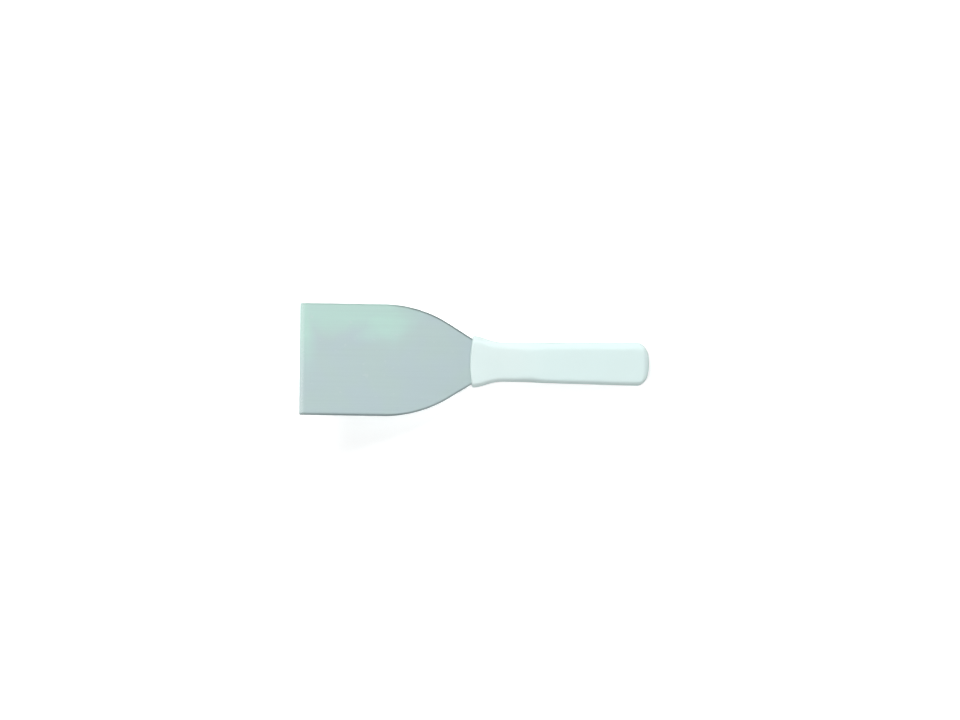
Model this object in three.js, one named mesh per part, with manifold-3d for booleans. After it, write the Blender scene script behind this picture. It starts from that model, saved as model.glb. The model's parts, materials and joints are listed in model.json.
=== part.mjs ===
// Flexible putty knife: a stamped spring-steel blade with a white plastic handle moulded round its tang.
// Millimetres. +X runs from the blade's working edge to the handle's butt, +Y across the blade,
// +Z out of the blade's face. The knife lies on the flat underside of its handle at z = 0, and the
// origin is under the middle of its box.

import * as THREE from 'three';
import { mergeVertices } from 'three/addons/utils/BufferGeometryUtils.js';
import Module from 'manifold-3d';

// ---- driving dimensions ---------------------------------------------------------------------------

const OVERALL_LENGTH = 248;      // working edge to butt
const FIT_GAP = 0.3;             // clearance between separate solids

const BLADE = {
  width: 80,
  thickness: 0.7,                // thin enough to spring under a hand's push
  reach: 121,                    // working edge to the nose of the handle's collar
  parallel: 59.5,                // length behind the edge over which the sides run parallel
  shoulderRadius: 87,            // round of each side as it turns in towards the handle
  taper: 32,                     // degrees each side has turned by when it reaches the collar
  groundLand: 3.2,               // depth of the ground band along the working edge
  edgeThickness: 0.34,           // what the grinding leaves at the edge itself
};

const FLEX_FROM_COLLAR = 34;     // where the springing front of the blade hinges, ahead of the collar

const TANG = {
  halfWidth: 10,
  reach: 92,                     // how far it runs into the handle
  holeRadius: 3.2,
  holes: [24, 50, 76],           // hole centres, behind the collar's nose
};

const HANDLE = {
  thickness: 16.5,
  collarHalfWidth: 18,
  neckHalfWidth: 13.65,
  flare: 23,                     // length over which the collar draws in to the neck
  buttHalfWidth: 14.95,          // the grip widens evenly from neck to butt
  buttCorner: 8.4,               // plan radius of the two corners at the butt
  noseBow: 88,                   // plan radius of the collar's front face
  buttBow: 55,                   // plan radius of the butt's end face
  rim: 1,                        // rounding of the collar's front rim
  edgeRadius: 4.2,               // rounding of the long edges
  saddleEdgeRadius: 5.4,         // the same where the saddle comes up again and is rounder
  saddleFrom: 14,                // the saddle is the shallow dip that the thumb and finger hold
  saddleTo: 54,
  rounderFrom: 30,
  saddleDepth: 1.3,
};

// ---- places worked out from them ------------------------------------------------------------------

const EDGE_X = -OVERALL_LENGTH / 2;
const COLLAR_X = EDGE_X + BLADE.reach;
const FLEX_X = COLLAR_X - FLEX_FROM_COLLAR;
const HANDLE_LENGTH = OVERALL_LENGTH - BLADE.reach;
const MID_Z = HANDLE.thickness / 2;
const OUTSIDE = 20;              // how far a cutting shape stands clear of what it cuts

// ---- materials ------------------------------------------------------------------------------------

const steel = new THREE.MeshStandardMaterial({ color: 0xb9ccce, roughness: 0.34, metalness: 1 });
const plastic = new THREE.MeshStandardMaterial({ color: 0xdceeed, roughness: 0.42, metalness: 0 });

// ---- solids: joining and cutting closed meshes ----------------------------------------------------

const wasm = await Module();
wasm.setup();

function toSolid(geometry) {
  const bare = geometry.clone();
  bare.deleteAttribute('normal');
  bare.deleteAttribute('uv');
  const merged = mergeVertices(bare, 1e-4);
  return new wasm.Manifold(new wasm.Mesh({
    numProp: 3,
    vertProperties: new Float32Array(merged.attributes.position.array),
    triVerts: new Uint32Array(merged.index.array),
  }));
}

function toGeometry(solid) {
  const mesh = solid.getMesh();
  const geometry = new THREE.BufferGeometry();
  geometry.setAttribute('position', new THREE.Float32BufferAttribute(mesh.vertProperties, 3));
  geometry.setIndex(new THREE.Uint32BufferAttribute(mesh.triVerts, 1));
  geometry.computeVertexNormals();
  return geometry;
}

// A flat plan shape, in x and y, raised to a plate centred on the blade's middle plane.
function plate(shape, thickness) {
  const options = { depth: thickness, bevelEnabled: false, curveSegments: 24 };
  const geometry = new THREE.ExtrudeGeometry(shape, options);
  geometry.translate(0, 0, MID_Z - thickness / 2);
  return geometry;
}

function namedMesh(name, solid, material) {
  const mesh = new THREE.Mesh(toGeometry(solid), material);
  mesh.name = name;
  return mesh;
}

// ---- the sheet-steel blade and tang ---------------------------------------------------------------

const TAPER = THREE.MathUtils.degToRad(BLADE.taper);
const ARC_START_X = EDGE_X + BLADE.parallel;
const ARC_END_X = ARC_START_X + BLADE.shoulderRadius * Math.sin(TAPER);
const ARC_END_HALF = BLADE.width / 2 - BLADE.shoulderRadius * (1 - Math.cos(TAPER));
const TANG_END_X = COLLAR_X + TANG.reach;

// Where the straight, tapering side has come in to half the given width.
function taperX(halfWidth) {
  return ARC_END_X + (ARC_END_HALF - halfWidth) / Math.tan(TAPER);
}

// The whole sheet in plan, grown by a margin all round, with the tang's keying holes shrunk by it.
function sheetShape(margin = 0) {
  const half = BLADE.width / 2 + margin;
  const radius = BLADE.shoulderRadius + margin;
  const tangHalf = TANG.halfWidth + margin;
  const arcY = half - radius;
  const shoulderX = taperX(TANG.halfWidth) + margin * Math.tan(TAPER / 2);
  const up = Math.PI / 2;

  const shape = new THREE.Shape();
  shape.moveTo(EDGE_X - margin, -half);
  shape.lineTo(ARC_START_X, -half);
  shape.absarc(ARC_START_X, -arcY, radius, -up, -up + TAPER, false);
  shape.lineTo(shoulderX, -tangHalf);
  shape.lineTo(TANG_END_X - TANG.halfWidth, -tangHalf);
  shape.absarc(TANG_END_X - TANG.halfWidth, 0, tangHalf, -up, up, false);
  shape.lineTo(shoulderX, tangHalf);
  shape.absarc(ARC_START_X, arcY, radius, up - TAPER, up, false);
  shape.lineTo(EDGE_X - margin, half);
  shape.closePath();

  for (const along of TANG.holes) {
    const hole = new THREE.Path();
    hole.absarc(COLLAR_X + along, 0, TANG.holeRadius - margin, 0, 2 * Math.PI, true);
    shape.holes.push(hole);
  }
  return shape;
}

// The sheet seen from its side: even thickness, ground thinner from both faces along the working edge.
function sideProfile(fromX, toX) {
  const half = BLADE.thickness / 2;
  const profile = new THREE.Shape();
  profile.moveTo(fromX, -BLADE.edgeThickness / 2);
  profile.lineTo(fromX + BLADE.groundLand, -half);
  profile.lineTo(toX, -half);
  profile.lineTo(toX, half);
  profile.lineTo(fromX + BLADE.groundLand, half);
  profile.lineTo(fromX, BLADE.edgeThickness / 2);
  profile.closePath();

  const depth = BLADE.width + OUTSIDE;
  const geometry = new THREE.ExtrudeGeometry(profile, { depth, bevelEnabled: false });
  geometry.rotateX(Math.PI / 2);
  geometry.translate(0, depth / 2, MID_Z);
  return geometry;
}

function slab(fromX, toX) {
  const width = BLADE.width + OUTSIDE;
  const geometry = new THREE.BoxGeometry(toX - fromX, width, OUTSIDE);
  geometry.translate((fromX + toX) / 2, 0, MID_Z);
  return geometry;
}

const sheet = toSolid(plate(sheetShape(), BLADE.thickness));

function bladePanel() {
  const side = toSolid(sideProfile(EDGE_X, FLEX_X - FIT_GAP / 2));
  return namedMesh('blade_panel', sheet.intersect(side), steel);
}

function bladeTang() {
  const rear = toSolid(slab(FLEX_X + FIT_GAP / 2, TANG_END_X + OUTSIDE));
  return namedMesh('blade_tang', sheet.intersect(rear), steel);
}

// ---- the moulded handle ---------------------------------------------------------------------------

const BUTT_FROM = HANDLE_LENGTH - HANDLE.buttCorner;
const FACE_RING = 3.5;           // ring of points in the front face, in rims from its outline
const CORNER_STEPS = 6;          // facets in each round corner of a section
const COLLAR_STEPS = 4;          // sections along each stretch of the handle
const SADDLE_STEPS = 12;
const GRIP_STEPS = 4;
const BUTT_STEPS = 6;
const LEAST_FLAT = 0.1;          // flat always left between two of those corners

// Half the handle's width at a distance behind the collar's nose.
function halfWidthAt(along) {
  const { collarHalfWidth, neckHalfWidth, flare, buttHalfWidth, buttCorner } = HANDLE;
  if (along < flare) {
    const drawnIn = (1 - Math.cos(along / flare * Math.PI)) / 2;
    return THREE.MathUtils.lerp(collarHalfWidth, neckHalfWidth, drawnIn);
  }
  const widened = Math.min(1, (along - flare) / (BUTT_FROM - flare));
  const full = THREE.MathUtils.lerp(neckHalfWidth, buttHalfWidth, widened);
  return full - roundedOff(along, buttCorner);
}

// How far a corner of this radius at the butt has come in from its side by then.
function roundedOff(along, radius) {
  const past = Math.max(0, along - (HANDLE_LENGTH - radius));
  return radius - Math.sqrt(Math.max(0, radius ** 2 - past ** 2));
}

// Rises smoothly from 0 at the start to 1 halfway and back to 0 at the end.
function swell(along, start, end) {
  const across = THREE.MathUtils.clamp((along - start) / (end - start), 0, 1);
  return (1 - Math.cos(across * 2 * Math.PI)) / 2;
}

// One closed section: four round corners joined by flats, across the handle. The bow, a curvature in
// plan, sets each point back, so that the sections near either end follow its bowed face.
function sectionLoop(along, halfWidth, halfHeight, cornerRadius, bow) {
  const radius = Math.min(cornerRadius, halfHeight - LEAST_FLAT, halfWidth - LEAST_FLAT);
  const loop = [];
  for (const [side, level, start] of [[1, -1, -90], [1, 1, 0], [-1, 1, 90], [-1, -1, 180]]) {
    for (let step = 0; step <= CORNER_STEPS; step += 1) {
      const angle = THREE.MathUtils.degToRad(start + 90 * step / CORNER_STEPS);
      const y = side * (halfWidth - radius) + radius * Math.cos(angle);
      const z = level * (halfHeight - radius) + radius * Math.sin(angle);
      const x = COLLAR_X + along + bow * y ** 2 / 2;
      loop.push(new THREE.Vector3(x, y, MID_Z + z));
    }
  }
  return loop;
}

// The skin over a row of equal loops, closed by a fan from a point at each end.
function skin(loops, first, last) {
  const count = loops[0].length;
  const points = [first, ...loops.flat(), last];
  const lastLoop = 1 + (loops.length - 1) * count;
  const faces = [];
  for (let i = 0; i < count; i += 1) {
    const next = (i + 1) % count;
    faces.push(0, 1 + next, 1 + i);
    for (let here = 1; here < lastLoop; here += count) {
      const there = here + count;
      faces.push(here + i, here + next, there + next);
      faces.push(here + i, there + next, there + i);
    }
    faces.push(points.length - 1, lastLoop + i, lastLoop + next);
  }
  const geometry = new THREE.BufferGeometry();
  geometry.setFromPoints(points);
  geometry.setIndex(faces);
  return geometry;
}

function handleBody() {
  const { edgeRadius, saddleEdgeRadius, saddleDepth, rim, buttCorner } = HANDLE;
  const { saddleFrom, saddleTo, rounderFrom } = HANDLE;
  const noseBow = 1 / HANDLE.noseBow;
  const buttBow = -1 / HANDLE.buttBow;
  const loops = [];

  function addLoop(along, inset = 0, bow = 0) {
    const saddle = saddleDepth * swell(along, saddleFrom, saddleTo);
    const halfHeight = MID_Z - saddle - roundedOff(along, edgeRadius);
    const rounder = swell(along, rounderFrom, saddleTo);
    const radius = THREE.MathUtils.lerp(edgeRadius, saddleEdgeRadius, rounder);
    loops.push(sectionLoop(along, halfWidthAt(along) - inset, halfHeight - inset, radius - inset, bow));
  }

  // the bowed front face, then its rounded rim
  addLoop(0, FACE_RING * rim, noseBow);
  for (const degrees of [0, 30, 60, 90]) {
    const turn = THREE.MathUtils.degToRad(degrees);
    addLoop(rim * (1 - Math.cos(turn)), rim * (1 - Math.sin(turn)), noseBow);
  }

  // the collar, along which the bow dies out
  for (let step = 1; step <= COLLAR_STEPS; step += 1) {
    const part = step / COLLAR_STEPS;
    addLoop(THREE.MathUtils.lerp(rim, saddleFrom, part), 0, noseBow * (1 - part));
  }

  // the saddle and the grip
  for (let step = 1; step <= SADDLE_STEPS; step += 1) {
    addLoop(THREE.MathUtils.lerp(saddleFrom, saddleTo, step / SADDLE_STEPS));
  }
  for (let step = 1; step <= GRIP_STEPS; step += 1) {
    addLoop(THREE.MathUtils.lerp(saddleTo, BUTT_FROM, step / GRIP_STEPS));
  }

  // the butt, round in plan and rounded over its edges, with its own bow growing towards its end
  for (let step = 1; step <= BUTT_STEPS; step += 1) {
    const part = Math.sin(step / BUTT_STEPS * Math.PI / 2);
    addLoop(BUTT_FROM + buttCorner * part, 0, buttBow * part);
  }

  const nose = new THREE.Vector3(COLLAR_X, 0, MID_Z);
  const butt = new THREE.Vector3(COLLAR_X + HANDLE_LENGTH, 0, MID_Z);
  return skin(loops, nose, butt);
}

// The moulding fits the sheet all round, fills the keying holes, and is open where the blade leaves it.
function handle() {
  const pocket = toSolid(plate(sheetShape(FIT_GAP), BLADE.thickness + 2 * FIT_GAP));
  return namedMesh('handle', toSolid(handleBody()).subtract(pocket), plastic);
}

// ---- the knife ------------------------------------------------------------------------------------

const knife = new THREE.Group();
knife.add(handle(), bladeTang(), bladePanel());

export default knife;
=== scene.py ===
"""Looks of the flexible putty knife: a springy stainless sheet in a moulded white handle.

Metres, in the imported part's frame: +X runs from the blade's working edge to the handle's butt,
+Y across the blade, +Z out of its face, and the knife lies on the handle's underside at z = 0.
"""

import json
import math

import bmesh
import bpy
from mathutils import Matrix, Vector


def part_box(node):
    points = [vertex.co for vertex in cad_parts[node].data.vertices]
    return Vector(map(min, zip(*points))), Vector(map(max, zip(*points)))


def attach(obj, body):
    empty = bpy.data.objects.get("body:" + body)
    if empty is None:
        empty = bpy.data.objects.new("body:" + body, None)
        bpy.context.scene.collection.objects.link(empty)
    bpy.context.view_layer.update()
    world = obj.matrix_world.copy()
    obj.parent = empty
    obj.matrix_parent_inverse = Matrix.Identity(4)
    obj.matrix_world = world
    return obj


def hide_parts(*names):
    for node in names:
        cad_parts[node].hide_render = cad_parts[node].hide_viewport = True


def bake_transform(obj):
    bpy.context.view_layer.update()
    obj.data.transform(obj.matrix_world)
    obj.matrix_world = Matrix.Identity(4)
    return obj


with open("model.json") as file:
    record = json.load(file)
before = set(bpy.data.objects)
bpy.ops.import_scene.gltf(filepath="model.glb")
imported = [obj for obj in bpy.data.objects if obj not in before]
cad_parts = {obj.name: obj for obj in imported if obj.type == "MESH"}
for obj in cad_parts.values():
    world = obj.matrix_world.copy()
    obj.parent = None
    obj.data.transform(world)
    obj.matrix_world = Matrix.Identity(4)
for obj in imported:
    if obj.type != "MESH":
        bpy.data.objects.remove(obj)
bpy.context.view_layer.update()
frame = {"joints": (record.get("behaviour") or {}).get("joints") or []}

MM = 0.001

# ---- places from the frame ---------------------------------------------------------------------

panel_low, panel_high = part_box("blade_panel")
tang_low, tang_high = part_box("blade_tang")
handle_low, handle_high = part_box("handle")
flex = next(j for j in frame["joints"] if j["name"] == "blade_flex")

EDGE_X = panel_low.x
MID_Z = flex["pos_m"][2]
FLEX_X = flex["pos_m"][0]
TANG_END_X = tang_high.x
BUTT_X = handle_high.x
HALF_BLADE = panel_high.y
HALF_SHEET = panel_high.z - MID_Z
HALF_HANDLE = handle_high.z - MID_Z
BLEND_REACH = 34 * MM                    # the bend spreads this far each way from the hinge,
NOSE_X = FLEX_X + BLEND_REACH            # which is back to the collar's front, on the middle line
HANDLE_LENGTH = BUTT_X - NOSE_X

# ---- shape of the sheet --------------------------------------------------------------------------

PARALLEL = 59.5 * MM                     # length over which the blade's sides run parallel
SHOULDER_RADIUS = 87 * MM
TAPER = math.radians(32)
TANG_HALF = 10 * MM
TANG_HOLES = [24 * MM, 50 * MM, 76 * MM]  # behind the collar's nose
HOLE_RADIUS = 3.2 * MM
GROUND_LAND = 3.2 * MM                   # ground band along the working edge
HALF_EDGE = 0.17 * MM                    # half the thickness left at the working edge
CORNER = 0.7 * MM                        # the blade's two front corners, in plan
ROLL_DEPTH = 0.3 * MM                    # stamped sides roll over slightly towards their edge,
SIDE_ROLL = 2.2 * MM                     # over this width where they are parallel
SHOULDER_ROLL = 1.4 * MM                 # and this on the shoulders
SLOT_GAP = 0.1 * MM                      # between the moulding and the sheet
ROLL_CHANGE = 20 * MM                    # length past the parallel sides over which the roll narrows
ROLL_STEPS = (0, 0.1, 0.25, 0.5, 0.8, 1.1, 1.4, 1.8, 2.2)    # mm from the side, for the mesh
LAND_STEPS = (0, 0.1, 0.3, 0.7, 1.1, 1.5, 1.9, 2.3, 2.7, 3.2, 3.5)    # mm from the working edge
TANG_END_STEPS = (15, 30, 45, 60, 75, 86)    # degrees round the tang's end
THINNEST = 0.02 * MM
EDGE_SHADE_WIDTH = 1.6 * MM                     # width of the band of painted shade along the sheet's edges
EDGE_SHADE_LOWER = 0.45                   # how much of the painted shade shows on the lower straight side; the upper side has none
SHARP_ANGLE = 40                         # degrees: edges sharper than this stay crisp

ARC_START_X = EDGE_X + PARALLEL
ARC_END_X = ARC_START_X + SHOULDER_RADIUS * math.sin(TAPER)
ARC_END_HALF = HALF_BLADE - SHOULDER_RADIUS * (1 - math.cos(TAPER))

# ---- shape of the handle, along it from the collar's nose -----------------------------------------

COLLAR_HALF = 18 * MM
NECK_HALF = 13.65 * MM
FLARE = 23 * MM                          # length over which the collar draws in to the neck
BUTT_HALF = 14.95 * MM
BUTT_CORNER = 8.4 * MM
NOSE_BOW = 1 / (88 * MM)                 # curvature in plan of the collar's front face
BUTT_BOW = -1 / (55 * MM)                # and of the butt's end
RIM = 1.0 * MM
EDGE_RADIUS = 4.2 * MM
SADDLE_EDGE_RADIUS = 5.4 * MM
SADDLE_FROM = 14 * MM
SADDLE_TO = 54 * MM
ROUNDER_FROM = 30 * MM                   # the edges are rounder where the saddle comes up again
SADDLE_DEPTH = 1.3 * MM
SINK_DEPTH = 0.05 * MM                   # the moulding sinks a little over the keys in the tang
SINK_RADIUS = 5 * MM
GATE_DEPTH = 0.3 * MM                    # recess at the butt that the moulding was fed through
SEAM_HEIGHT = 0.09 * MM                  # mould parting line round the sides
SEAM_WIDTH = 0.3 * MM
SEAM_PROFILE = ((-1, 0), (-0.4, 0.75), (0, 1), (0.4, 0.75), (1, 0))    # parts of width and height
NOSE_SCALES = (0.12, 0.3, 0.5, 0.7, 0.85, 0.95)    # rings of the collar's front face
BUTT_SCALES = (0.9, 0.7, 0.45, 0.2, 0.17)    # rings of the butt's face, in to the gate recess
GATE_SCALES = (0.16, 0.08)               # and of the recess's floor
POCKET_LEAD = 8 * MM                     # the pocket's cutter starts this far ahead of the nose


# ---- mesh helpers --------------------------------------------------------------------------------

def spread(start, end, count):
    """count + 1 even steps from start to end."""
    return [start + (end - start) * i / count for i in range(count + 1)]


def mix(a, b, part):
    """a at part 0, b at part 1."""
    return a + (b - a) * part


def skin(name, loops, first_cap, last_cap):
    """A closed object over a row of equal loops. A cap is a point for a fan, or None to pair the
    loop's first half with its second half, as on the end of a sheet."""
    mesh_points = [p for loop in loops for p in loop]
    count = len(loops[0])
    faces = []
    for row in range(len(loops) - 1):
        here = row * count
        there = here + count
        for i in range(count):
            after = (i + 1) % count
            faces.append((here + i, here + after, there + after, there + i))
    for cap, start, flip in ((first_cap, 0, True), (last_cap, (len(loops) - 1) * count, False)):
        if cap is None:
            ring = [(start + i, start + i + 1, start + count - 2 - i, start + count - 1 - i)
                    for i in range(count // 2 - 1)]
        else:
            mesh_points.append(cap)
            ring = [(start + i, start + (i + 1) % count, len(mesh_points) - 1) for i in range(count)]
        faces += [f[::-1] for f in ring] if flip else ring
    mesh = bpy.data.meshes.new(name)
    mesh.from_pydata(mesh_points, [], faces)
    mesh.validate()
    obj = bpy.data.objects.new(name, mesh)
    bpy.context.scene.collection.objects.link(obj)
    work = bmesh.new()
    work.from_mesh(mesh)
    bmesh.ops.recalc_face_normals(work, faces=work.faces)
    work.to_mesh(mesh)
    work.free()
    return obj


def posts(name, radius):
    """Upright round posts, one at each of the tang's keying holes."""
    work = bmesh.new()
    for along in TANG_HOLES:
        made = bmesh.ops.create_cone(work, cap_ends=True, segments=48, radius1=radius, radius2=radius,
                                     depth=6 * MM)
        bmesh.ops.translate(work, verts=made["verts"], vec=(NOSE_X + along, 0, MID_Z))
    mesh = bpy.data.meshes.new(name)
    work.to_mesh(mesh)
    work.free()
    obj = bpy.data.objects.new(name, mesh)
    bpy.context.scene.collection.objects.link(obj)
    return obj


def cut(obj, tool):
    """Cuts tool out of obj's mesh and removes it."""
    modifier = obj.modifiers.new("cut", "BOOLEAN")
    modifier.operation = "DIFFERENCE"
    modifier.solver = "EXACT"
    modifier.object = tool
    shaped = obj.evaluated_get(bpy.context.evaluated_depsgraph_get())
    mesh = bpy.data.meshes.new_from_object(shaped)
    obj.modifiers.clear()
    old = obj.data
    obj.data = mesh
    bpy.data.meshes.remove(old)
    bpy.data.objects.remove(tool)


def shade(obj, degrees):
    """Smooth shading, with edges sharper than this angle kept crisp."""
    obj.data.shade_smooth()
    obj.data.set_sharp_from_angle(angle=math.radians(degrees))


# ---- the sheet -----------------------------------------------------------------------------------

def sheet_half_width(x):
    """Half the sheet's width in plan: blade, shoulders, and tang with its round end."""
    if x < EDGE_X + CORNER:
        inset = CORNER - (x - EDGE_X)
        return HALF_BLADE - CORNER + math.sqrt(max(0, CORNER ** 2 - inset ** 2))
    if x < ARC_START_X:
        return HALF_BLADE
    if x < ARC_END_X:
        return HALF_BLADE - SHOULDER_RADIUS + math.sqrt(SHOULDER_RADIUS ** 2 - (x - ARC_START_X) ** 2)
    tapering = ARC_END_HALF - (x - ARC_END_X) * math.tan(TAPER)
    past = max(0, x - (TANG_END_X - TANG_HALF))
    return max(tapering, math.sqrt(max(0, TANG_HALF ** 2 - past ** 2)))


def sheet_half_thickness(x):
    unground = max(0, 1 - (x - EDGE_X) / GROUND_LAND)
    return mix(HALF_SHEET, HALF_EDGE, unground ** 1.6)


def shoulder_part(x):
    """0 where the sides run parallel, 1 once the shoulders are well under way."""
    return min(1, max(0, (x - ARC_START_X) / ROLL_CHANGE))


def roll_width(x):
    return mix(SIDE_ROLL, SHOULDER_ROLL, shoulder_part(x))


def sheet_loop(x, margin, rolled):
    """The sheet's section at x: its upper face from -Y to +Y, then its lower face back again."""
    half = sheet_half_width(x)
    thick = sheet_half_thickness(x)
    slim = min(1, half / TANG_HALF)
    near = [d * MM * slim for d in ROLL_STEPS]
    inner = spread(near[-1], 2 * half - near[-1], 40)
    across = near[:-1] + inner + [2 * half - d for d in reversed(near[:-1])]
    upper = []
    lower = []
    for d in across:
        from_side = min(d, 2 * half - d)
        roll = ROLL_DEPTH * max(0, 1 - from_side / roll_width(x)) ** 1.6 if rolled else 0
        level = max(thick - roll * thick / HALF_SHEET, THINNEST) + margin
        y = (d - half) * (1 + margin / max(half, MM))
        upper.append((x, y, MID_Z + level))
        lower.append((x, y, MID_Z - level))
    return upper + lower[::-1]


def paint_edge_shade(sheet):
    """Marks a band of painted shade along the edges, 1 at the edge and 0 inside it, for the steel to
    read: full on the shoulders, part on the lower straight side, none on the upper one.
    """
    edge_shade_mask = sheet.data.attributes.new("edge_shade_mask", "FLOAT", "POINT")
    for vertex, value in zip(sheet.data.vertices, edge_shade_mask.data):
        from_side = sheet_half_width(vertex.co.x) - abs(vertex.co.y)
        straight = EDGE_SHADE_LOWER if vertex.co.y < 0 else 0.0
        shown = mix(straight, 1, shoulder_part(vertex.co.x))
        value.value = max(0, 1 - from_side / EDGE_SHADE_WIDTH) * shown


def sheet_body(name, from_x, stations, margin=0.0, rolled=True):
    loops = [sheet_loop(x, margin, rolled) for x in stations if x >= from_x]
    body = skin(name, loops, None, None)
    cut(body, posts(name + "_posts", HOLE_RADIUS - margin))
    return body


def sheet_stations():
    front = [EDGE_X + d * MM for d in LAND_STEPS]
    blade = spread(EDGE_X + 4.5 * MM, NOSE_X + 2 * MM, 90)
    tang = spread(NOSE_X + 3 * MM, TANG_END_X - TANG_HALF, 44)
    end = [TANG_END_X - TANG_HALF * (1 - math.sin(math.radians(a))) for a in TANG_END_STEPS]
    return front + blade + tang + end


# ---- the handle ----------------------------------------------------------------------------------

def rounded_off(along, radius):
    """How far a corner of this radius at the butt has come in by then."""
    past = max(0, along - (HANDLE_LENGTH - radius))
    return radius - math.sqrt(max(0, radius ** 2 - past ** 2))


def handle_half_width(along):
    if along < FLARE:
        return mix(COLLAR_HALF, NECK_HALF, (1 - math.cos(along / FLARE * math.pi)) / 2)
    widened = min(1, (along - FLARE) / (HANDLE_LENGTH - BUTT_CORNER - FLARE))
    return mix(NECK_HALF, BUTT_HALF, widened) - rounded_off(along, BUTT_CORNER)


def swell(along, start, end):
    """Rises smoothly from 0 at start to 1 halfway and back to 0 at end."""
    across = min(1, max(0, (along - start) / (end - start)))
    return (1 - math.cos(across * 2 * math.pi)) / 2


def section_points(half_width, half_height, radius):
    """(y, z) round one section: round corners, faces in strips, and the parting line on the sides."""
    flat_y = half_width - radius
    flat_z = half_height - radius
    points = []
    for side, level, start in ((1, -1, -90), (1, 1, 0), (-1, 1, 90), (-1, -1, 180)):
        for step in range(13):
            angle = math.radians(start + 90 * step / 12)
            points.append((side * flat_y + radius * math.cos(angle),
                           level * flat_z + radius * math.sin(angle)))
        if level == -side:
            seam = min(SEAM_WIDTH, flat_z * 0.9)
            for part, proud in SEAM_PROFILE:
                points.append((side * (half_width + proud * SEAM_HEIGHT), side * part * seam))
        else:
            strip = spread(side * flat_y, -side * flat_y, 12)[1:-1]
            points += [(y, level * half_height) for y in strip]
    return points


def handle_loop(along, inset=0.0, bow=0.0, scale=1.0):
    saddle = SADDLE_DEPTH * swell(along, SADDLE_FROM, SADDLE_TO)
    half_height = HALF_HANDLE - saddle - rounded_off(along, EDGE_RADIUS) - inset
    half_width = handle_half_width(along) - inset
    radius = mix(EDGE_RADIUS, SADDLE_EDGE_RADIUS, swell(along, ROUNDER_FROM, SADDLE_TO)) - inset
    radius = min(radius, half_height - 0.2 * MM, half_width - 0.2 * MM)
    loop = []
    for y, z in section_points(half_width, half_height, radius):
        y, z = y * scale, z * scale
        for key in TANG_HOLES:
            away = math.hypot(along - key, y) / SINK_RADIUS
            z -= math.copysign(SINK_DEPTH * math.exp(-away ** 2), z) * (abs(z) > half_height * 0.7)
        loop.append((NOSE_X + along + bow * y ** 2 / 2, y, MID_Z + z))
    return loop


def handle_body():
    """The moulding, from the middle of the collar's front face to the floor of the gate recess."""
    loops = [handle_loop(0, RIM, NOSE_BOW, scale) for scale in NOSE_SCALES]
    for degrees in range(0, 91, 15):
        turn = math.radians(degrees)
        loops.append(handle_loop(RIM * (1 - math.cos(turn)), RIM * (1 - math.sin(turn)), NOSE_BOW))
    collar = spread(RIM, SADDLE_FROM, 12)[1:]
    loops += [handle_loop(a, 0, NOSE_BOW * (SADDLE_FROM - a) / (SADDLE_FROM - RIM)) for a in collar]
    loops += [handle_loop(a) for a in spread(SADDLE_FROM, SADDLE_TO, 32)[1:]]
    loops += [handle_loop(a) for a in spread(SADDLE_TO, HANDLE_LENGTH - BUTT_CORNER, 40)[1:]]
    for degrees in range(6, 91, 6):
        part = math.sin(math.radians(degrees))
        loops.append(handle_loop(HANDLE_LENGTH - BUTT_CORNER * (1 - part), 0, BUTT_BOW * part))
    loops += [handle_loop(HANDLE_LENGTH, 0, BUTT_BOW, scale) for scale in BUTT_SCALES]
    loops += [handle_loop(HANDLE_LENGTH - GATE_DEPTH, 0, 0, scale) for scale in GATE_SCALES]
    return skin("handle_moulding", loops, (NOSE_X, 0, MID_Z), (BUTT_X - GATE_DEPTH, 0, MID_Z))


# ---- materials -----------------------------------------------------------------------------------

STEEL_BLUER = (0.562, 0.692, 0.716, 1)
STEEL_WARMER = (0.562, 0.704, 0.694, 1)
STEEL_PAINTED_REFLECTION = (0.578, 0.830, 0.748, 1)
STEEL_STREAK = (0.44, 0.54, 0.55, 1)
STEEL_GROUND = (0.80, 0.90, 0.90, 1)
STEEL_MARK = (0.72, 0.80, 0.81, 1)
STEEL_PAINTED_EDGE_SHADE = (0.24, 0.30, 0.31, 1)
PLASTIC_COLLAR = (0.700, 0.826, 0.812, 1)
PLASTIC_GRIP = (0.672, 0.826, 0.812, 1)
PLASTIC_SHADED = (0.672, 0.812, 0.798, 1)
PLASTIC_IOR = 1.49


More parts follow.
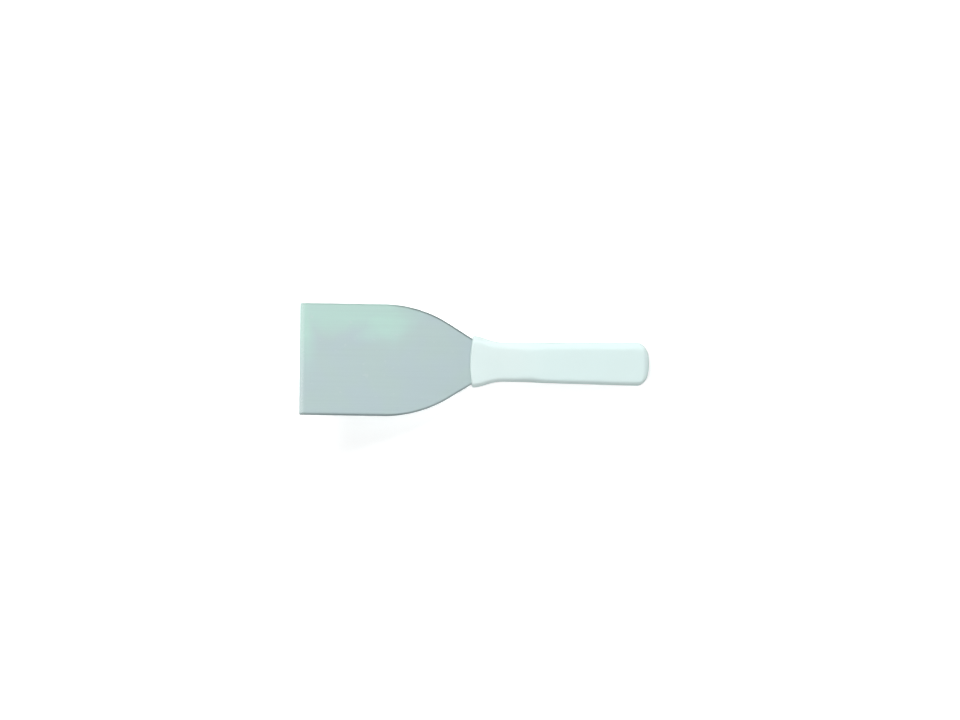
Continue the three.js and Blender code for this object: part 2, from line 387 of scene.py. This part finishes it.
class Shader:
    """A material's node tree, with short calls to add a node and to link it."""

    def __init__(self, name):
        self.material = bpy.data.materials.new(name)
        self.material.use_nodes = True
        self.tree = self.material.node_tree
        self.surface = self.tree.nodes["Principled BSDF"]
        self.place = self.add("ShaderNodeTexCoord").outputs["Object"]

    def add(self, kind, **settings):
        node = self.tree.nodes.new(kind)
        for key, value in settings.items():
            setattr(node, key, value)
        return node

    def link(self, source, target):
        self.tree.links.new(source, target)

    def noise(self, stretch, detail=2.0, roughness=0.5):
        """Noise at so many features a metre along each axis."""
        mapping = self.add("ShaderNodeMapping")
        mapping.inputs["Scale"].default_value = stretch
        self.link(self.place, mapping.inputs["Vector"])
        texture = self.add("ShaderNodeTexNoise")
        texture.inputs["Scale"].default_value = 1.0
        texture.inputs["Detail"].default_value = detail
        texture.inputs["Roughness"].default_value = roughness
        self.link(mapping.outputs["Vector"], texture.inputs["Vector"])
        return texture.outputs["Fac"]

    def fit(self, value, low, high, to_low=0.0, to_high=1.0):
        """value's range low to high, mapped smoothly on to another range and held at its ends."""
        node = self.add("ShaderNodeMapRange", interpolation_type="SMOOTHSTEP")
        self.link(value, node.inputs["Value"])
        for socket, number in (("From Min", low), ("From Max", high), ("To Min", to_low),
                               ("To Max", to_high)):
            node.inputs[socket].default_value = number
        return node.outputs["Result"]

    def sum(self, operation, a, b):
        node = self.add("ShaderNodeMath", operation=operation)
        for socket, value in zip(node.inputs, (a, b)):
            if isinstance(value, (int, float)):
                socket.default_value = value
            else:
                self.link(value, socket)
        return node.outputs["Value"]

    def blend(self, factor, a, b):
        node = self.add("ShaderNodeMix", data_type="RGBA")
        self.link(factor, node.inputs["Factor"])
        for socket, value in ((node.inputs["A"], a), (node.inputs["B"], b)):
            if isinstance(value, tuple):
                socket.default_value = value
            else:
                self.link(value, socket)
        return node.outputs["Result"]

    def axis(self, name):
        node = self.add("ShaderNodeSeparateXYZ")
        self.link(self.place, node.inputs["Vector"])
        return node.outputs[name]

    def near(self, place, wobble, amount):
        """Distance from a place, pushed in and out by a wobble about 0.5."""
        apart = self.add("ShaderNodeVectorMath", operation="DISTANCE")
        self.link(self.place, apart.inputs[0])
        apart.inputs[1].default_value = place
        pushed = self.sum("MULTIPLY", self.sum("SUBTRACT", wobble, 0.5), 2 * amount)
        return self.sum("ADD", apart.outputs["Value"], pushed)

    def bump(self, height, distance, strength=1.0, normal=None):
        node = self.add("ShaderNodeBump")
        node.inputs["Distance"].default_value = distance
        node.inputs["Strength"].default_value = strength
        self.link(height, node.inputs["Height"])
        if normal is not None:
            self.link(normal, node.inputs["Normal"])
        return node.outputs["Normal"]


def steel():
    """Fine satin stainless sheet: grinding lines along it, a brighter ground edge, soft tints, a
    painted reflection in green along its upper side and front, and painted shade along its shoulders
    and lower side.
    """
    s = Shader("satin_stainless")
    s.surface.inputs["Metallic"].default_value = 1.0
    grain = s.noise((90, 9000, 90), 3.0, 0.6)
    streaks = s.noise((10, 900, 30), 3.0, 0.6)
    patches = s.noise((34, 38, 10), 2.5)
    waves = s.noise((14, 17, 10), 1.0)
    land = s.fit(s.axis("X"), EDGE_X + 1.2 * MM, EDGE_X + 4.2 * MM, 1.0, 0.0)

    # painted reflection: the sheet is painted greener along its upper side and its front, and most of
    # all in one patch, as the reflected soft light
    wander = s.sum("MULTIPLY", patches, 16 * MM)
    upper = s.sum("MULTIPLY", s.fit(s.sum("ADD", s.axis("Y"), wander), 22 * MM, 38 * MM, 0.0, 0.8),
                  s.fit(s.axis("X"), -62 * MM, -44 * MM, 1.0, 0.0))
    front = s.sum("MULTIPLY", s.fit(s.axis("X"), EDGE_X + 3 * MM, EDGE_X + 15 * MM, 1.0, 0.0),
                  s.fit(s.sum("ADD", s.axis("Y"), wander), -14 * MM, 34 * MM))
    reflection_patch = s.fit(s.near((-60 * MM, 29 * MM, MID_Z), patches, 20 * MM), 0, 28 * MM, 1.0, 0.0)
    painted_reflection = s.sum("MAXIMUM", s.sum("MAXIMUM", upper, front), reflection_patch)
    colour = s.blend(s.fit(patches, 0.35, 0.65), STEEL_BLUER, STEEL_WARMER)
    colour = s.blend(painted_reflection, colour, STEEL_PAINTED_REFLECTION)
    colour = s.blend(s.fit(streaks, 0.35, 0.75, 0.0, 0.07), colour, STEEL_STREAK)
    colour = s.blend(s.sum("MULTIPLY", land, 0.35), colour, STEEL_GROUND)
    marks = s.fit(s.noise((150, 240, 10), 2.0), 0.66, 0.76)
    colour = s.blend(s.sum("MULTIPLY", marks, 0.22), colour, STEEL_MARK)
    # painted shade: the steel darkens along the shoulders and the lower side, the edges that face away
    # from the light
    edge_shade_mask = s.add("ShaderNodeAttribute", attribute_name="edge_shade_mask").outputs["Fac"]
    colour = s.blend(s.sum("MULTIPLY", edge_shade_mask, 0.6), colour, STEEL_PAINTED_EDGE_SHADE)
    s.link(colour, s.surface.inputs["Base Color"])

    behind = s.sum("SUBTRACT", 1.0, land)
    streaky = s.sum("MULTIPLY", s.fit(streaks, 0.3, 0.7, 0.0, 0.035), behind)
    rough = s.sum("ADD", s.sum("ADD", streaky, 0.28), s.sum("MULTIPLY", land, -0.02))
    s.link(rough, s.surface.inputs["Roughness"])
    normal = s.bump(waves, 0.2 * MM, 0.2)
    normal = s.bump(grain, 0.003 * MM, 0.25, normal)
    s.link(normal, s.surface.inputs["Normal"])
    return s.material


def plastic():
    """White moulded polypropylene: satin, with a fine spark-eroded grain and faint handling marks."""
    s = Shader("white_polypropylene")
    tone = s.noise((30, 34, 30), 2.0)
    grain = s.noise((2600, 2600, 2600), 2.0, 0.6)
    orange_peel = s.noise((260, 260, 260), 1.0)
    scuffs = s.noise((70, 1900, 700), 2.0, 0.6)
    warm = s.sum("ADD", s.axis("X"), s.sum("MULTIPLY", tone, 30 * MM))
    cool = s.fit(warm, NOSE_X + 45 * MM, NOSE_X + 75 * MM)
    colour = s.blend(cool, PLASTIC_COLLAR, PLASTIC_GRIP)
    colour = s.blend(s.fit(tone, 0.3, 0.7, 0.0, 0.5), colour, PLASTIC_SHADED)
    s.link(colour, s.surface.inputs["Base Color"])
    rough = s.sum("ADD", s.fit(tone, 0.3, 0.7, 0.42, 0.48), s.fit(scuffs, 0.62, 0.78, 0.0, 0.10))
    s.link(rough, s.surface.inputs["Roughness"])
    s.surface.inputs["IOR"].default_value = PLASTIC_IOR
    normal = s.bump(orange_peel, 0.02 * MM, 0.3)
    normal = s.bump(grain, 0.006 * MM, 0.5, normal)
    s.link(normal, s.surface.inputs["Normal"])
    return s.material


# ---- the pieces ----------------------------------------------------------------------------------

def blade_sheet():
    """The whole sheet as one piece, from the tang that the handle grips to the blade's free front."""
    sheet = sheet_body("blade_sheet", EDGE_X, sheet_stations())
    paint_edge_shade(sheet)
    shade(sheet, SHARP_ANGLE)
    sheet.data.materials.append(steel())
    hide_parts("blade_tang", "blade_panel")
    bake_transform(sheet)


def handle():
    """The moulding, with the pocket that the sheet fills."""
    moulding = handle_body()
    pocket = sheet_body("pocket", NOSE_X - POCKET_LEAD, sheet_stations(), SLOT_GAP, False)
    cut(moulding, pocket)
    shade(moulding, SHARP_ANGLE)
    moulding.data.materials.append(plastic())
    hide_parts("handle")
    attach(moulding, "grip")


# ---- the studio ----------------------------------------------------------------------------------

FLOOR_HALF = 4.0
HOLLOW = 34 * MM                         # the floor dips under the blade, so that it can flex down
HOLLOW_FROM = NOSE_X - 8 * MM
HOLLOW_TO = EDGE_X - 8 * MM
HOLLOW_RISE = 0.3                        # it rises again over this length ahead of the blade,
HOLLOW_SIDES = (0.34, 0.05)              # and beside it between these distances from the middle line
FLOOR_GLOW_NEAR = 0.38
FLOOR_GLOW_FAR = 0.56
BACKDROP_RADIUS = 3.8
BACKDROP_HEIGHT = 5.4
BACKDROP_GLOW = 0.74
BACKDROP_SIDES = 64


def staged(name, points, faces):
    mesh = bpy.data.meshes.new(name)
    mesh.from_pydata(points, [], faces)
    mesh.shade_smooth()
    obj = bpy.data.objects.new(name, mesh)
    bpy.context.scene.collection.objects.link(obj)
    return obj


def ease(value, start, end):
    """0 at start to 1 at end, smoothly, and held beyond them."""
    part = min(1, max(0, (value - start) / (end - start)))
    return part * part * (3 - 2 * part)


def floor():
    """Pale paper under the knife, with a smooth hollow below the blade."""
    xs = [-FLOOR_HALF] + spread(HOLLOW_TO - HOLLOW_RISE, HOLLOW_TO, 16)
    xs += spread(HOLLOW_TO, HOLLOW_FROM, 32)[1:] + [FLOOR_HALF]
    ys = [-FLOOR_HALF] + spread(-0.36, 0.36, 48) + [FLOOR_HALF]
    points = []
    for x in xs:
        along = ease(x, HOLLOW_FROM, HOLLOW_TO) * ease(x, HOLLOW_TO - HOLLOW_RISE, HOLLOW_TO)
        points += [(x, y, -HOLLOW * along * ease(abs(y), *HOLLOW_SIDES)) for y in ys]
    rows = len(ys)
    faces = [(i * rows + j, (i + 1) * rows + j, (i + 1) * rows + j + 1, i * rows + j + 1)
             for i in range(len(xs) - 1) for j in range(rows - 1)]
    s = Shader("floor_paper")
    s.surface.inputs["Base Color"].default_value = (0.92, 0.92, 0.92, 1)
    s.surface.inputs["Roughness"].default_value = 0.9
    s.surface.inputs["Emission Color"].default_value = (1, 1, 1, 1)
    away = s.near((0, 0, 0), 0.5, 0)
    glow = s.fit(away, 0.5, 2.6, FLOOR_GLOW_NEAR, FLOOR_GLOW_FAR)
    s.link(glow, s.surface.inputs["Emission Strength"])
    paper = staged("floor", points, faces)
    paper.data.materials.append(s.material)
    paper.visible_diffuse = False        # the world's FROM_BELOW gives the knife its light instead


def backdrop():
    """A pale wall round the studio, seen and reflected but giving the knife no light of its own."""
    sides = range(BACKDROP_SIDES)
    turns = [math.radians(360 * i / BACKDROP_SIDES) for i in sides]
    points = [(BACKDROP_RADIUS * math.cos(t), BACKDROP_RADIUS * math.sin(t), z)
              for z in (0, BACKDROP_HEIGHT) for t in turns]
    faces = [(i, (i + 1) % BACKDROP_SIDES, BACKDROP_SIDES + (i + 1) % BACKDROP_SIDES,
              BACKDROP_SIDES + i) for i in sides]
    s = Shader("backdrop_paper")
    s.surface.inputs["Base Color"].default_value = (0, 0, 0, 1)
    s.surface.inputs["Specular IOR Level"].default_value = 0.0
    s.surface.inputs["Emission Color"].default_value = (1, 1, 1, 1)
    s.surface.inputs["Emission Strength"].default_value = BACKDROP_GLOW
    wall = staged("backdrop", points, faces)
    wall.data.materials.append(s.material)
    wall.visible_diffuse = False
    wall.visible_shadow = False


def softbox(name, place, aim, size, power, reflected=True):
    data = bpy.data.lights.new(name, "AREA")
    data.shape = "SQUARE"
    data.size = size
    data.energy = power
    obj = bpy.data.objects.new(name, data)
    obj.location = place
    obj.rotation_euler = (Vector(aim) - Vector(place)).to_track_quat("-Z", "Y").to_euler()
    obj.visible_camera = False
    obj.visible_glossy = reflected
    bpy.context.scene.collection.objects.link(obj)


FROM_BELOW = 0.8                         # light that white paper would send up at the knife
FROM_ABOVE = 0.14
HORIZON = 0.02                           # the two meet over this much of the direction's height


def studio():
    world = bpy.data.worlds.new("studio")
    world.use_nodes = True
    nodes = world.node_tree.nodes
    link = world.node_tree.links.new
    up = nodes.new("ShaderNodeSeparateXYZ")
    link(nodes.new("ShaderNodeTexCoord").outputs["Generated"], up.inputs["Vector"])
    strength = nodes.new("ShaderNodeMapRange")
    strength.inputs["From Min"].default_value = -HORIZON
    strength.inputs["From Max"].default_value = HORIZON
    strength.inputs["To Min"].default_value = FROM_BELOW
    strength.inputs["To Max"].default_value = FROM_ABOVE
    link(up.outputs["Z"], strength.inputs["Value"])
    link(strength.outputs["Result"], nodes["Background"].inputs["Strength"])
    nodes["Background"].inputs["Color"].default_value = (1, 1, 1, 1)
    bpy.context.scene.world = world
    softbox("key", (-0.5, 1.2, 0.9), (0, 0, 0), 0.7, 18, reflected=False)
    softbox("overhead", (-0.25, -0.02, 1.5), (0, 0, 0), 1.15, 3.6)
    softbox("fill", (-0.05, 0.0, 1.5), (0, 0, 0), 0.5, 6.8, reflected=False)
    softbox("side", (1.2, 0.35, 0.7), (0, 0, 0), 0.5, 4, reflected=False)


CAMERA_DISTANCE = 3.2
FRAME_WIDTH = 0.6818                     # width of the picture at the knife
TILT = math.radians(7)                   # off square, towards the knife's upper side in the picture
ROLL = math.radians(0.9)                 # the knife lies turned by this much in the picture
AIM = Vector((4.0 * MM, 1.3 * MM, MID_Z))
SENSOR = 36.0


def camera():
    data = bpy.data.cameras.new("camera")
    data.sensor_width = SENSOR
    data.lens = SENSOR * CAMERA_DISTANCE / FRAME_WIDTH
    data.clip_end = 20
    obj = bpy.data.objects.new("camera", data)
    obj.rotation_euler = (-TILT, 0, ROLL)
    obj.location = AIM + obj.rotation_euler.to_matrix() @ Vector((0, 0, CAMERA_DISTANCE))
    bpy.context.scene.collection.objects.link(obj)
    bpy.context.scene.camera = obj


camera()
studio()
floor()
backdrop()
blade_sheet()
handle()

bpy.context.scene.view_settings.view_transform = "Standard"
